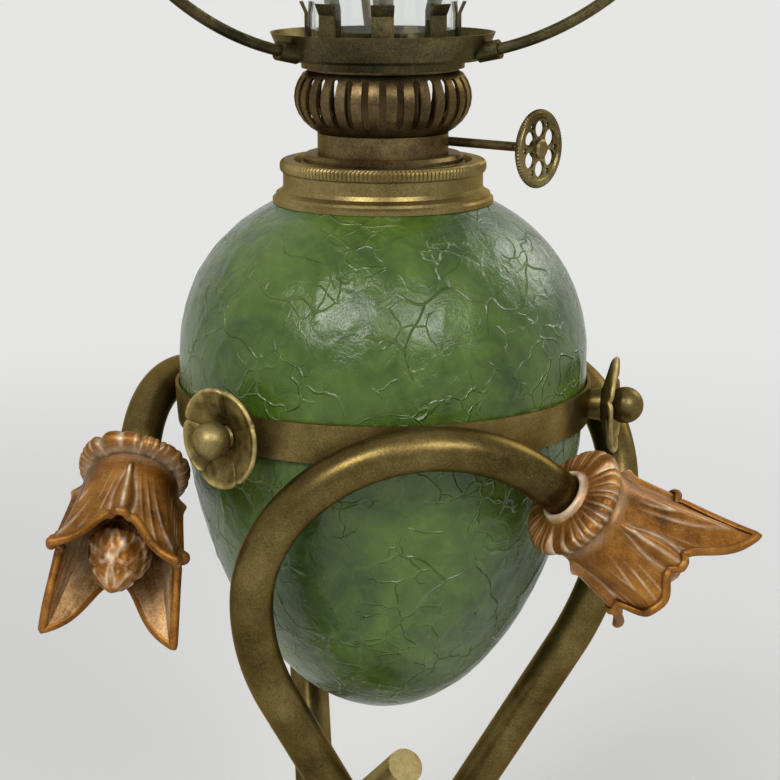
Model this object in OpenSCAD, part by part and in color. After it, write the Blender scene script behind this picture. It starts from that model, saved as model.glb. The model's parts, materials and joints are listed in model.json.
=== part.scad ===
// Table lamp with a round-wick draught burner, a glass oil font and three bent
// brass stalks that carry the font, stand on ball feet and end in hanging flowers.
// The origin is on the lamp's axis at table height. +Z is up, and -Y is the front.

/* [Font] */
// Radius of the glass at its widest
font_r = 75; // [70:0.5:80]
// Height of the widest ring of the glass above the table
font_eq_z = 303; // [295:1:311]
// Height of the glass shoulder above the widest ring
font_up = 65; // [62:0.5:68]
// Depth of the glass bowl below the widest ring
font_low = 134; // [128:1:140]
// Fullness of the shoulder curve
font_full = 2.2; // [2.1:0.05:2.4]
// Thickness of the glass
glass_wall = 4; // [3:0.25:5]
// Outer radius of the glass neck
neck_r = 32; // [30:0.5:33]

/* [Collar and burner] */
// Outer radius of the collar's foot
collar_foot_r = 39.8; // [38.5:0.1:42]
// Outer radius of the collar's wall
collar_r = 36; // [35.5:0.1:37]
// Height of the collar
collar_h = 11; // [10:0.25:13]
// Height of the milled screw ring
ring_h = 4.2; // [3.8:0.1:6]
// Radius of the burner's flange
flange_r = 29.7; // [29:0.1:31]
// Height of the burner's flange
flange_h = 4.8; // [4.2:0.1:6]
// Radius of the burner's waist
waist_r = 23.5; // [22.8:0.1:25]
// Height of the burner's waist
waist_h = 7.4; // [7:0.1:9]
// Greatest radius of the slotted basket
basket_r = 31.8; // [31:0.1:33]
// Height of the basket
basket_h = 23; // [21:0.5:26]
// Number of slots in the basket
slot_count = 32; // [24:1:36]
// Width of a slot
slot_w = 2.5; // [2:0.1:3]
// Thickness of the pressed brass
sheet = 0.9; // [0.7:0.05:1.1]

/* [Wick and winder] */
// Inner radius of the wick
wick_r = 9; // [8.6:0.1:9.2]
// Thickness of the wick
wick_t = 1.8; // [1.6:0.1:2]
// Length of the wick, most of which hangs down into the oil
wick_len = 215; // [170:1:225]
// How far the winder lifts the wick
wick_travel = 9.9; // [6:0.1:10]
// Number of teeth on the winder pinion
pinion_teeth = 10; // [10:1:11]
// Tooth module of the pinion and rack
tooth_module = 0.6; // [0.55:0.05:0.6]
// Radius of the winder shaft
shaft_r = 1; // [0.8:0.1:1.2]
// Direction in which the winder points, from the right towards the front
winder_turn = 38; // [30:1:44]
// Distance of the winder wheel from the lamp's axis, along the shaft
wheel_reach = 56; // [52:0.5:60]
// Radius of the winder wheel
wheel_r = 13.2; // [12:0.1:14]

/* [Chimney and shade holder] */
// Outer radius of the chimney's base
chimney_r = 26.5; // [26:0.1:27]
// Outer radius of the chimney's upper tube
chimney_top_r = 19; // [17:0.5:22]
// Height of the chimney
chimney_h = 250; // [220:1:270]
// Thickness of the chimney's glass
chimney_wall = 1.8; // [1.5:0.1:2.4]
// Number of spring fingers round the chimney
finger_count = 8; // [6:1:10]
// Upper radius of the cup that carries the shade arms
cup_r = 40; // [38:0.5:44]
// Height of the cup
cup_h = 9.5; // [8:0.5:12]
// Radius of the shade's own rim
shade_rim_r = 127; // [120:0.5:132]
// Radius of a shade arm
arm_r = 2; // [1.6:0.1:2.4]

/* [Band and rosettes] */
// Height of the font band's lower edge above the table
band_z = 281.4; // [278:0.2:283]
// Width of the band
band_w = 13.8; // [12:0.2:15]
// Thickness of the band
band_t = 1.3; // [1:0.1:1.6]
// Direction of the first rosette, from the right and anticlockwise
rosette_az = 229.5; // [226:0.5:232]
// Radius of a rosette
rosette_r = 17.2; // [16:0.1:18]
// Radius of a screw's ball head
ball_r = 6.6; // [6:0.1:7.2]

/* [Stalks] */
// Outer radius of a stalk tube
stalk_r = 7.5; // [7:0.1:8]
// Wall of a stalk tube
stalk_wall = 1.5; // [1:0.1:2]
// Direction of the first stalk's touch point on the band
touch_az = -82; // [-86:0.5:-78]
// Slope of the stalk where it touches the band
touch_slope = 4.4; // [3:0.1:6]
// Lean of the crook towards the font
crook_lean = 19; // [17:0.5:21]
// Bend radius of the crook
crook_r = 58.7; // [57:0.1:60]
// Bend of the crook from the touch point to the riser
crook_back = 85.8; // [84:0.2:88]
// Bend of the crook from the touch point to the flower
crook_fore = 44; // [41:0.5:46]
// Straight tube between the crook and the flower
crook_tail = 13; // [10:0.5:16]
// Turn of the bend plane below the crook
riser_twist = 7.7; // [6:0.1:9]
// Bend radius below the crook
riser_bend_r = 97.8; // [92:0.2:104]
// Bend below the crook
riser_bend = 26.3; // [25:0.1:28]
// Bend radius above the foot
foot_bend_r = 70; // [60:1:80]
// Level length of tube at the foot
foot_run = 26; // [20:1:32]
// Radius of a ball foot
foot_r = 11.5; // [10.5:0.1:12.5]
// Height of a ball foot's centre above the table
foot_z = 9.5; // [9:0.1:10]
// Radius of a stay rod
stay_r = 6.5; // [6:0.1:7]
// Height at which the stay passes behind the front stalk
stay_z = 136; // [132:0.5:140]
// Direction round the front stalk at which the stay passes it
stay_side = 25; // [20:0.5:30]
// Fall of the stay to the left stalk
stay_fall = 31; // [28:0.5:34]
// Length of the stay past the front stalk
stay_past = 32.5; // [26:0.5:38]
// Height of the spool that ties the stalks at their waist
tie_h = 24; // [18:1:30]

/* [Flowers] */
// Radius of the ruffled calyx
calyx_r = 19.5; // [18:0.1:21]
// Depth of the calyx
calyx_d = 8; // [7:0.1:10]
// Number of ruffles round the calyx
calyx_ruffles = 11; // [8:1:14]
// Radius of the flower's bell at its shoulder
bell_r = 17; // [16:0.1:18]
// Radius of the circle through the petals' tips
petal_r = 32.5; // [29:0.5:35]
// Length of the flower from its calyx to the petals' tips
petal_len = 54; // [50:0.5:58]
// Number of petals
petal_count = 4; // [4:1:4]
// Turn of the petals about the flower's axis, from the side towards which the stalk bends
petal_roll = 17; // [12:0.5:22]
// Length of the bell from its calyx to the notches between the petals
notch_at = 32; // [28:0.5:35]
// Thickness of the cast flower
flower_wall = 2; // [1.6:0.1:2.4]
// Radius of the bud
bud_r = 11.8; // [10.5:0.1:12.5]
// Length of the bud
bud_len = 31; // [27:0.5:34]
// Gap between the calyx and the foot of the bud
bud_gap = 19; // [16:0.5:21]

/* [Hidden] */
$fn = 96;
// Close fit of two pieces that don't move
seat = 0.05;
// Gap between pieces that turn or slide
play = 0.3;
// Running clearance of the winder shaft
shaft_play = 0.05;
// Overlap of a cutting shape past the face that it cuts
eps = 1;
// Overlap of two runs of one tube, and the hair by which every second run is thinner
lap = 0.1;
drawn = 0.15;

// Half width and height of the font's profile
function shoulder_z(r) = font_eq_z + font_up * pow(1 - pow(r / font_r, font_full), 1 / font_full);
function shoulder_r(t, cut) = (font_r - cut) * pow(1 - pow(t, font_full), 1 / font_full);
function bowl_r(z, cut = 0) = (font_r - cut) * sqrt(max(0, 1 - pow((font_eq_z - z) / (font_low - cut), 2)));

// Heights of the stack above the font
neck_top = shoulder_z(neck_r) + 6;
collar_z = shoulder_z(collar_foot_r) + 0.25;
collar_top = collar_z + collar_h;
ring_floor = collar_top + ring_h - 2.6;
ring_top = collar_top + ring_h;
flange_top = ring_floor + flange_h;
waist_top = flange_top + waist_h;
basket_top = waist_top + basket_h;
burner_floor = 1.2;
winder_z = flange_top + waist_h / 2;

// Wick works
wick_out = wick_r + wick_t;
draught_r = wick_r - 0.4;
tube_wall = 0.7;
carrier_r = wick_out + 0.8;
tube_in = carrier_r + play;
tube_out = tube_in + tube_wall;
pinion_r = tooth_module * pinion_teeth / 2;
addendum = 0.8 * tooth_module;
dedendum = 1.3 * tooth_module;
rack_r = tube_out + dedendum + 0.2;
rack_w = 4.4;
shaft_off = rack_r + pinion_r;
tooth_pitch = PI * tooth_module;
tooth_half = 0.19 * tooth_pitch;
flank = tan(20);
wick_top = basket_top + 8;
draught_box = [8, 8];
wick_slit = draught_box[0] + 2 * play + 0.4;
box_z = ring_floor + burner_floor + 0.6;
rack_below = ceil(wick_travel / tooth_pitch + 2);
rack_low = winder_z - rack_below * tooth_pitch;
rack_count = rack_below + 3;
rack_high = rack_low + rack_count * tooth_pitch;
sleeve_r = shaft_r + 0.7;
sleeve_out = 30;

// Gallery, chimney and shade holder
gallery_in = chimney_r + 0.4;
gallery_out = gallery_in + sheet;
gallery_floor = basket_top + sheet;
ledge_z = gallery_floor + 2;
finger_z = gallery_floor + 7;
finger_top = finger_z + 15;
cup_z = ledge_z;
cup_low_r = cup_r - 3.5;
chimney_z = gallery_floor;
chimney_knee = 52;
arm_start = cup_r + 1.5;
arm_slope = 12;
arm_z = cup_z + 4;
shade_seat_r = shade_rim_r + 1.5;
arm_bend = (shade_seat_r - arm_start) / (1 - sin(arm_slope));
arm_top = arm_z + arm_bend * cos(arm_slope);
arm_azs = [216, 336, 96];

// Band
band_top = band_z + band_w;
band_mid = band_z + band_w / 2;
function band_out(z) = bowl_r(z) + seat + band_t;
boss_h = 4.5;
boss_r = 6;
screw_r = 2;

// A frame is a point, the side towards which a tube bends, and its heading
function unit(v) = v / norm(v);
function along(f, d) = [f[0] + d * f[2], f[1], f[2]];
function bent(f, r, a) = [
    f[0] + r * (1 - cos(a)) * f[1] + r * sin(a) * f[2],
    cos(a) * f[1] - sin(a) * f[2],
    cos(a) * f[2] + sin(a) * f[1]];
function rolled(f, a) = [f[0], cos(a) * f[1] + sin(a) * cross(f[2], f[1]), f[2]];
function turned(p, a) = [p[0] * cos(a) - p[1] * sin(a), p[0] * sin(a) + p[1] * cos(a), p[2]];

// The stalk starts at its touch point on the band and runs both ways
touch_z = band_mid + 0.7;
touch_dist = band_out(touch_z) + seat + stalk_r;
out_dir = [cos(touch_az), sin(touch_az), 0];
side_dir = [-sin(touch_az), cos(touch_az), 0];
touch_p = touch_dist * out_dir + [0, 0, touch_z];
touch_head = cos(touch_slope) * side_dir + sin(touch_slope) * [0, 0, 1];
touch_drop = sin(touch_slope) * side_dir - cos(touch_slope) * [0, 0, 1];
touch_bend = cos(crook_lean) * touch_drop - sin(crook_lean) * out_dir;
fore_start = [touch_p, touch_bend, touch_head];
fore_end = bent(fore_start, crook_r, crook_fore);
stalk_end = along(fore_end, crook_tail);
flower_at = stalk_end;
back_start = [touch_p, touch_bend, -touch_head];
riser_bend_start = rolled(bent(back_start, crook_r, crook_back), riser_twist);
riser_start = bent(riser_bend_start, riser_bend_r, riser_bend);
riser_dir = riser_start[2];
foot_bend = asin(-riser_dir[2]);
riser_len = (riser_start[0][2] - foot_z - foot_bend_r * (1 - cos(foot_bend))) / -riser_dir[2];
riser_end = riser_start[0] + riser_len * riser_dir;
foot_bend_start = [riser_end, unit([0, 0, 1] - riser_dir[2] * riser_dir), riser_dir];
foot_start = bent(foot_bend_start, foot_bend_r, foot_bend);
foot_end = along(foot_start, foot_run);
stalk_turns = [0, 120, 240];
tube_plug = calyx_d + flower_wall;
tail_r = stalk_r - drawn;

// A point of the riser at a height, and the stay that passes behind it
function riser_at(z) = riser_start[0] + (riser_start[0][2] - z) / -riser_dir[2] * riser_dir;
function inward(p) = unit([-p[0], -p[1], 0] + (p[0] * riser_dir[0] + p[1] * riser_dir[1]) * riser_dir);
stay_in = inward(riser_at(stay_z));
stay_head = riser_at(stay_z)
    + (stalk_r + stay_r - 0.4) * (cos(stay_side) * stay_in + sin(stay_side) * cross(riser_dir, stay_in));
stay_tail = turned(riser_at(stay_z - stay_fall), stalk_turns[2]);

// Where the risers come closest to the lamp's axis
waist_run = -(riser_start[0][0] * riser_dir[0] + riser_start[0][1] * riser_dir[1])
    / (pow(riser_dir[0], 2) + pow(riser_dir[1], 2));
waist_p = riser_start[0] + waist_run * riser_dir;
waist_dist = norm([waist_p[0], waist_p[1]]);

old_brass = [0.45, 0.36, 0.16];
pale_brass = [0.60, 0.50, 0.26];
rust_brass = [0.55, 0.32, 0.10];
green_glass = [0.13, 0.30, 0.07];

module at(f) {
    y = cross(f[2], f[1]);
    multmatrix([[f[1][0], y[0], f[2][0], f[0][0]],
                [f[1][1], y[1], f[2][1], f[0][1]],
                [f[1][2], y[2], f[2][2], f[0][2]],
                [0, 0, 0, 1]]) children();
}

// Frame of the wick works, with the rack on its -Y side, behind the wick
module works() rotate([0, 0, -winder_turn]) mirror([0, 1, 0]) children();

module straight(f, r, len) at(f) cylinder(r = r, h = len);

module bend(f, r, bend_r, a)
    at(f) translate([bend_r, 0, 0]) rotate([90, 0, 0]) rotate([0, 0, 180 - a])
        rotate_extrude(angle = a) translate([bend_r, 0]) circle(r = r);

module rod(a, b, r) {
    d = b - a;
    translate(a) rotate([0, acos(d[2] / norm(d)), atan2(d[1], d[0])]) cylinder(r = r, h = norm(d));
}

// Font

module glass_font() {
    steps = 20;
    neck_t = pow(1 - pow(neck_r / font_r, font_full), 1 / font_full);
    in_r = neck_r - glass_wall + 0.5;
    in_t = pow(1 - pow(in_r / (font_r - glass_wall), font_full), 1 / font_full);
    outer = concat(
        [for (i = [0:steps]) let (a = -90 + 90 * i / steps)
            [font_r * cos(a), font_eq_z + font_low * sin(a)]],
        [for (i = [1:steps]) let (t = neck_t * sin(90 * i / steps))
            [shoulder_r(t, 0), font_eq_z + font_up * t]]);
    inner = concat(
        [for (i = [0:steps]) let (t = in_t * cos(90 * i / steps))
            [shoulder_r(t, glass_wall), font_eq_z + (font_up - glass_wall) * t]],
        [for (i = [1:steps]) let (a = -90 * i / steps)
            [(font_r - glass_wall) * cos(a), font_eq_z + (font_low - glass_wall) * sin(a)]]);
    color(green_glass)
        rotate_extrude() polygon(concat(outer, [[neck_r, neck_top], [in_r, neck_top]], inner));
}

module font_collar()
    color(pale_brass) rotate_extrude() polygon([
        [neck_r + play, shoulder_z(neck_r) + 0.6],
        [collar_foot_r - 4, shoulder_z(collar_foot_r - 4) + 0.35],
        [collar_foot_r, collar_z],
        [collar_foot_r, collar_z + 1.6],
        [collar_foot_r - 1, collar_z + 2.4],
        [collar_foot_r - 1.2, collar_z + 3.4],
        [collar_r + 0.5, collar_z + 4.6],
        [collar_r, collar_z + 6],
        [collar_r, collar_top],
        [neck_r + 1.4, collar_top],
        [neck_r + 1.4, neck_top + 0.4],
        [neck_r + play, neck_top + 0.4]]);

module screw_ring() {
    spigot = neck_r + 1.4 - seat;
    throat = flange_r - 2.7;
    color(old_brass) rotate_extrude() {
        polygon([
            [throat, neck_top + 0.6], [spigot, neck_top + 0.6], [spigot, collar_top],
            [collar_r - 0.3, collar_top], [collar_r + 0.4, collar_top + 0.8],
            [collar_r + 0.4, ring_top - 1.2], [collar_r - 0.4, ring_top],
            [flange_r + 2.4, ring_top], [flange_r + 1.4, ring_floor], [throat, ring_floor]]);
    }
}

// Burner

module burner_base() {
    neck_in = waist_r - sheet;
    color(old_brass) difference() {
        rotate_extrude() polygon([
            [tube_out + seat, ring_floor], [flange_r, ring_floor],
            [flange_r, ring_floor + 1.4], [flange_r - 0.8, ring_floor + 2.2],
            [flange_r - 0.8, flange_top - 1.2], [flange_r - 2, flange_top],
            [waist_r, flange_top], [waist_r, waist_top], [neck_in, waist_top],
            [neck_in, ring_floor + burner_floor], [tube_out + seat, ring_floor + burner_floor]]);
        works() {
            translate([-rack_w / 2 - play, -rack_r - addendum - play, ring_floor - eps])
                cube([rack_w + 2 * play, rack_r, burner_floor + 2 * eps]);
            translate([0, -shaft_off, winder_z]) rotate([0, 90, 0])
                cylinder(r = sleeve_r, h = waist_r + eps);
            translate([0, -shaft_off, winder_z]) rotate([0, -90, 0])
                cylinder(r = shaft_r + shaft_play, h = waist_r + eps);
        }
    }
}

module burner_basket() {
    low_r = waist_r - sheet / 2;
    rim_r = chimney_r + 0.2;
    swell = [for (i = [0:8]) let (a = -58 + 92 * i / 8)
        [low_r + (basket_r - low_r) * (cos(a) - cos(58)) / (1 - cos(58)),
         waist_top + (basket_h - 2) * (sin(a) + sin(58)) / (sin(34) + sin(58))]];
    slot_low = waist_top + 0.2 * basket_h;
    slot_high = basket_top - 0.17 * basket_h;
    color(old_brass) difference() {
        rotate_extrude() polygon(concat(
            swell, [[rim_r, basket_top - sheet], [rim_r, basket_top], [rim_r - 1.4, basket_top]],
            [[rim_r - 1.4, basket_top - 2 * sheet]],
            [for (i = [8:-1:0]) [swell[i][0] - 1.2 * sheet, swell[i][1] - (i > 6 ? sheet / 2 : 0)]]));
        for (i = [0:slot_count - 1]) rotate([0, 0, 360 * i / slot_count]) {
            translate([low_r - 6, -slot_w / 2, slot_low]) cube([basket_r, slot_w, slot_high - slot_low]);
            for (z = [slot_low, slot_high]) translate([low_r - 6, 0, z]) rotate([0, 90, 0])
                cylinder(r = slot_w / 2, h = basket_r);
        }
    }
}

module outer_wick_tube()
    color(old_brass) difference() {
        rotate_extrude() polygon([
            [tube_in, ring_floor - 3], [tube_out, ring_floor - 3],
            [tube_out, wick_top - 5], [tube_out - 0.3, wick_top - 1.5],
            [tube_in, wick_top - 1.5]]);
        works() {
            translate([-rack_w / 2 - play, -tube_out - eps, ring_floor - 3 - eps])
                cube([rack_w + 2 * play, tube_out, rack_high + wick_travel + 4 - ring_floor + eps]);
            translate([0, 0, box_z + draught_box[1] / 2])
                cube([draught_box[0] - 2 * sheet, 2 * (tube_out + eps), draught_box[1] - 2 * sheet], center = true);
        }
    }

// Inner tube of the burner, with the box that lets air in through the wick's slit
module draught_tube()
    color(old_brass) works() difference() {
        union() {
            translate([0, 0, box_z - 2]) cylinder(r = draught_r, h = wick_top - 2 - box_z + 2);
            intersection() {
                translate([-draught_box[0] / 2, 0, box_z]) cube([draught_box[0], 2 * tube_in, draught_box[1]]);
                translate([0, 0, box_z - eps]) cylinder(r = tube_in - seat / 2, h = draught_box[1] + 2 * eps);
            }
        }
        translate([0, 0, box_z - 1]) cylinder(r = draught_r - tube_wall, h = wick_top);
        translate([-draught_box[0] / 2 + sheet, 0, box_z + sheet])
            cube([draught_box[0] - 2 * sheet, 2 * tube_out, draught_box[1] - 2 * sheet]);
    }

module wick()
    color("ivory") works() difference() {
        translate([0, 0, wick_top - wick_len]) cylinder(r = wick_out, h = wick_len);
        translate([0, 0, wick_top - wick_len - eps]) cylinder(r = wick_r, h = wick_len + 2 * eps);
        translate([-wick_slit / 2, 0, box_z - wick_travel - 2])
            cube([wick_slit, 2 * wick_out, draught_box[1] + wick_travel + 4]);
    }

module wick_carrier() {
    bar = carrier_r - 0.4;
    root = rack_r - dedendum;
    tip = rack_r + addendum;
    teeth = [for (i = [0:rack_count - 1]) let (z = rack_low + (i + 0.5) * tooth_pitch) each [
        [-root, z - tooth_half - dedendum * flank], [-tip, z - tooth_half + addendum * flank],
        [-tip, z + tooth_half - addendum * flank], [-root, z + tooth_half + dedendum * flank]]];
    color(old_brass) works() {
        difference() {
            union() {
                translate([0, 0, rack_low]) cylinder(r = carrier_r, h = rack_high - rack_low);
                translate([-rack_w / 2, 0, 0]) rotate([90, 0, 90]) linear_extrude(rack_w)
                    polygon(concat([[-bar, rack_low]], teeth, [[-bar, rack_high]]));
            }
            translate([0, 0, rack_low - eps])
                cylinder(r = wick_out + seat / 2, h = rack_high - rack_low + 2 * eps);
            translate([-wick_slit / 2, 0, rack_low - eps])
                cube([wick_slit, 2 * carrier_r, rack_high - rack_low + 2 * eps]);
        }
    }
}

// Winder

module on_winder()
    works() translate([0, -shaft_off, winder_z]) rotate([0, 90, 0]) children();

shaft_in = sqrt(pow(waist_r, 2) - pow(shaft_off, 2));

module winder_shaft()
    color(pale_brass) on_winder() translate([0, 0, -shaft_in - 0.5])
        cylinder(r = shaft_r, h = shaft_in + 0.5 + wheel_reach + 2);

module winder_pinion() {
    pinion_w = rack_w - 0.6;
    teeth = [for (i = [0:pinion_teeth - 1], p = [
        [pinion_r - dedendum, -tooth_half - dedendum * flank], [pinion_r + addendum, -tooth_half + addendum * flank],
        [pinion_r + addendum, tooth_half - addendum * flank], [pinion_r - dedendum, tooth_half + dedendum * flank]])
        let (a = 360 * i / pinion_teeth + 90)
        [p[0] * cos(a) - p[1] * sin(a), p[0] * sin(a) + p[1] * cos(a)]];
    color(old_brass) on_winder() translate([0, 0, -pinion_w / 2]) difference() {
        linear_extrude(pinion_w) polygon(teeth);
        translate([0, 0, -eps]) cylinder(r = shaft_r, h = pinion_w + 2 * eps);
    }
}

module winder_wheel() {
    rim = 2.6;
    hub = 3.4;
    web = 1.2;
    hole_r = (wheel_r - rim - hub) / 2 - 0.7;
    hole_at = (wheel_r - rim + hub) / 2;
    color(old_brass) on_winder() translate([0, 0, wheel_reach]) difference() {
        rotate_extrude() polygon([
            [shaft_r, -2.4], [hub - 0.6, -2.4], [hub, -1.8], [hub, -web / 2], [wheel_r - rim, -web / 2],
            [wheel_r - rim + 0.5, -web], [wheel_r - 0.5, -web], [wheel_r, -0.7], [wheel_r, 0.7],
            [wheel_r - 0.5, web], [wheel_r - rim + 0.5, web], [wheel_r - rim, web / 2],
            [hub, web / 2], [hub, 1.4], [hub - 0.8, 2], [shaft_r, 2]]);
        for (i = [0:5]) rotate([0, 0, 60 * i]) translate([hole_at, 0, -2])
            cylinder(r = hole_r, h = 4);
        for (i = [0:5]) rotate([0, 0, 60 * i + 30]) translate([wheel_r - rim - 1.4, 0, -2])
            cylinder(r = 1, h = 4);
    }
}

module winder_sleeve()
    color(pale_brass) on_winder() difference() {
        translate([0, 0, shaft_in - sheet]) cylinder(r = sleeve_r - seat, h = sleeve_out);
        translate([0, 0, shaft_in - sheet - eps]) cylinder(r = shaft_r + shaft_play, h = sleeve_out + 2 * eps);
    }

// Chimney and shade holder

module gallery() {
    gap_a = 360 / finger_count;
    finger_a = 16;
    floor_in = chimney_r - 9.5;
    color(old_brass) difference() {
        rotate_extrude() polygon([
            [floor_in, basket_top], [gallery_out + 1.3, basket_top], [gallery_out + 1.3, ledge_z],
            [gallery_out, ledge_z], [gallery_out, finger_top - 4], [gallery_out + 1.8, finger_top],
            [gallery_out + 0.9, finger_top], [gallery_in, finger_top - 4], [gallery_in, gallery_floor],
            [floor_in, gallery_floor]]);
        for (i = [0:finger_count - 1]) rotate([0, 0, gap_a * i + finger_a / 2])
            translate([0, 0, finger_z]) rotate_extrude(angle = gap_a - finger_a)
                translate([gallery_in - eps, 0]) square([2 * eps + 4, finger_top]);
    }
}

module cup_outline(t)
    polygon([[gallery_out + play, cup_z], [cup_low_r - 1, cup_z], [cup_low_r, cup_z + 1],
        [cup_r, cup_z + cup_h], [cup_r - t, cup_z + cup_h], [cup_low_r - t, cup_z + t],
        [gallery_out + play, cup_z + t]]);

module shade_cup() color(old_brass) rotate_extrude() cup_outline(1.1);

module shade_arm(az) {
    arm_frame = [[arm_start, 0, arm_z], [-sin(arm_slope), 0, cos(arm_slope)],
        [cos(arm_slope), 0, sin(arm_slope)]];
    lug_back = 5;
    color(old_brass) rotate([0, 0, az]) difference() {
        union() {
            bend(arm_frame, arm_r, arm_bend, 90 - arm_slope);
            straight(along(arm_frame, -lug_back), arm_r * 1.7, lug_back + 3);
        }
        rotate_extrude() polygon([[0, cup_z], [cup_low_r - 1, cup_z], [cup_low_r, cup_z + 1],
            [cup_r, cup_z + cup_h], [0, cup_z + cup_h]]);
    }
}

module shade_arm_left() shade_arm(arm_azs[0]);
module shade_arm_right() shade_arm(arm_azs[1]);
module shade_arm_back() shade_arm(arm_azs[2]);

module shade_ring()
    color(old_brass) rotate_extrude() polygon([
        [shade_rim_r - 4, arm_top], [shade_rim_r + 4, arm_top], [shade_rim_r + 5.5, arm_top + 1.5],
        [shade_rim_r + 5.5, arm_top + 7], [shade_rim_r + 4.3, arm_top + 7],
        [shade_rim_r + 4.3, arm_top + 1.3], [shade_rim_r - 4, arm_top + 1.3]]);

module chimney() {
    top = chimney_z + chimney_h;
    knee = chimney_z + chimney_knee;
    color([0.9, 0.93, 0.92, 0.4]) rotate_extrude() polygon([
        [chimney_r, chimney_z], [chimney_r, knee], [chimney_r - 1.2, knee + 3],
        [chimney_top_r + 1.2, knee + 9], [chimney_top_r, knee + 13], [chimney_top_r, top],
        [chimney_top_r - chimney_wall, top], [chimney_top_r - chimney_wall, knee + 13],
        [chimney_top_r + 1.2 - chimney_wall, knee + 8.4], [chimney_r - 1.2 - chimney_wall, knee + 2.4],
        [chimney_r - chimney_wall, knee], [chimney_r - chimney_wall, chimney_z]]);
}

// Band, rosettes and their screws

module font_band() {
    steps = 6;
    zs = [for (i = [0:steps]) band_z + band_w * i / steps];
    color(old_brass) rotate_extrude() polygon(concat(
        [for (i = [0:steps]) [band_out(zs[i]), zs[i]]],
        [for (i = [steps:-1:0]) [bowl_r(zs[i]) + seat, zs[i]]]));
}

module on_band(az) rotate([0, 0, az]) translate([band_out(band_mid), 0, band_mid]) rotate([0, 90, 0]) children();

module band_bosses()
    color(old_brass) for (i = [0:2]) difference() {
        on_band(rosette_az + 120 * i) difference() {
            translate([0, 0, -2]) cylinder(r1 = boss_r - 1, r2 = boss_r, h = boss_h + 2);
            translate([0, 0, -2 - eps]) cylinder(r = screw_r, h = boss_h + 2 + 2 * eps);
        }
        rotate_extrude() polygon([[0, band_z], [band_out(band_z), band_z],
            for (k = [1:5]) let (z = band_z + band_w * k / 6) [band_out(z), z],
            [band_out(band_top), band_top], [0, band_top]]);
    }

module rosette(az) {
    lobes = 5;
    lobe_r = 0.53 * rosette_r;
    color(old_brass) on_band(az) translate([0, 0, boss_h]) difference() {
        intersection() {
            rotate_extrude() polygon([[0, 0], [rosette_r - 6, 0], [rosette_r - 1, 3], [rosette_r + 1, 5.4],
                [rosette_r, 6], [rosette_r - 2.4, 4.6], [rosette_r - 6.5, 2.2], [screw_r + 3, 2], [0, 2]]);
            union() {
                cylinder(r = rosette_r / 2, h = 8);
                for (i = [0:lobes - 1]) rotate([0, 0, 360 * i / lobes])
                    translate([rosette_r - lobe_r, 0, 0]) cylinder(r = lobe_r, h = 8);
            }
        }
        translate([0, 0, -eps]) cylinder(r = screw_r, h = 4);
    }
}

module rosette_front() rosette(rosette_az);
module rosette_right() rosette(rosette_az + 120);
module rosette_back() rosette(rosette_az + 240);

module ball_screw(az) {
    head_z = boss_h + 2;
    color(pale_brass) on_band(az) {
        translate([0, 0, 0.5]) cylinder(r = screw_r - seat, h = head_z + ball_r - 0.5);
        translate([0, 0, head_z]) cylinder(r1 = screw_r + 2, r2 = screw_r + 1.2, h = 1.6);
        translate([0, 0, head_z + ball_r]) sphere(r = ball_r);
    }
}

module ball_screw_front() ball_screw(rosette_az);
module ball_screw_right() ball_screw(rosette_az + 120);
module ball_screw_back() ball_screw(rosette_az + 240);

// Stalks, feet and stays

module pipe(f, len, thin = 0)
    at(f) difference() {
        cylinder(r = stalk_r - thin, h = len);
        translate([0, 0, -eps]) cylinder(r = stalk_r - stalk_wall - thin, h = len + 2 * eps);
    }

module pipe_bend(f, bend_r, a, thin = 0)
    at(f) translate([bend_r, 0, 0]) rotate([90, 0, 0]) rotate([0, 0, 180 - a])
        rotate_extrude(angle = a) translate([bend_r, 0]) difference() {
            circle(r = stalk_r - thin);
            circle(r = stalk_r - stalk_wall - thin);
        }

// One bent tube, from its flower end round the crook and down to its foot
module stalk(turn)
    color(old_brass) rotate([0, 0, turn]) {
        pipe(along(fore_end, -lap), crook_tail + tube_plug + lap, drawn);
        pipe_bend([fore_end[0], fore_end[1], -fore_end[2]], crook_r, crook_fore + crook_back);
        pipe_bend(bent(riser_bend_start, riser_bend_r, -lap), riser_bend_r, riser_bend + lap, drawn);
        pipe(along(riser_start, -lap), riser_len + 2 * lap);
        pipe_bend(foot_bend_start, foot_bend_r, foot_bend, drawn);
        pipe(along(foot_start, -lap), foot_run + lap);
    }

module stalk_front() stalk(stalk_turns[0]);
module stalk_right() stalk(stalk_turns[1]);
module stalk_left() stalk(stalk_turns[2]);

module foot(turn)
    color(old_brass) rotate([0, 0, turn]) difference() {
        translate(foot_end[0]) sphere(r = foot_r);
        straight(along(foot_start, -eps), stalk_r, foot_run + eps);
        translate(foot_end[0] - [2 * foot_r, 2 * foot_r, foot_z + 4 * foot_r]) cube(4 * foot_r);
    }

module foot_front() foot(stalk_turns[0]);
module foot_right() foot(stalk_turns[1]);
module foot_left() foot(stalk_turns[2]);

module stay()
    color(pale_brass) difference() {
        rod(stay_tail, stay_head + stay_past * unit(stay_head - stay_tail), stay_r);
        straight(riser_start, stalk_r, riser_len);
        rotate([0, 0, stalk_turns[2]]) straight(riser_start, stalk_r, riser_len);
    }

module stalk_tie() {
    tie_r = waist_dist - stalk_r + 2;
    color(old_brass) difference() {
        translate([0, 0, waist_p[2]]) rotate_extrude() polygon([
            [0, -tie_h / 2 - 6], [3, -tie_h / 2 - 4.5], [tie_r - 7, -tie_h / 2], [tie_r - 1, -tie_h / 2],
            [tie_r, -tie_h / 2 + 1], [tie_r, tie_h / 2 - 1], [tie_r - 1, tie_h / 2], [tie_r - 7, tie_h / 2],
            [3, tie_h / 2 + 4.5], [0, tie_h / 2 + 6]]);
        for (turn = stalk_turns) rotate([0, 0, turn]) straight(riser_start, stalk_r, riser_len);
    }
}

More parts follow.
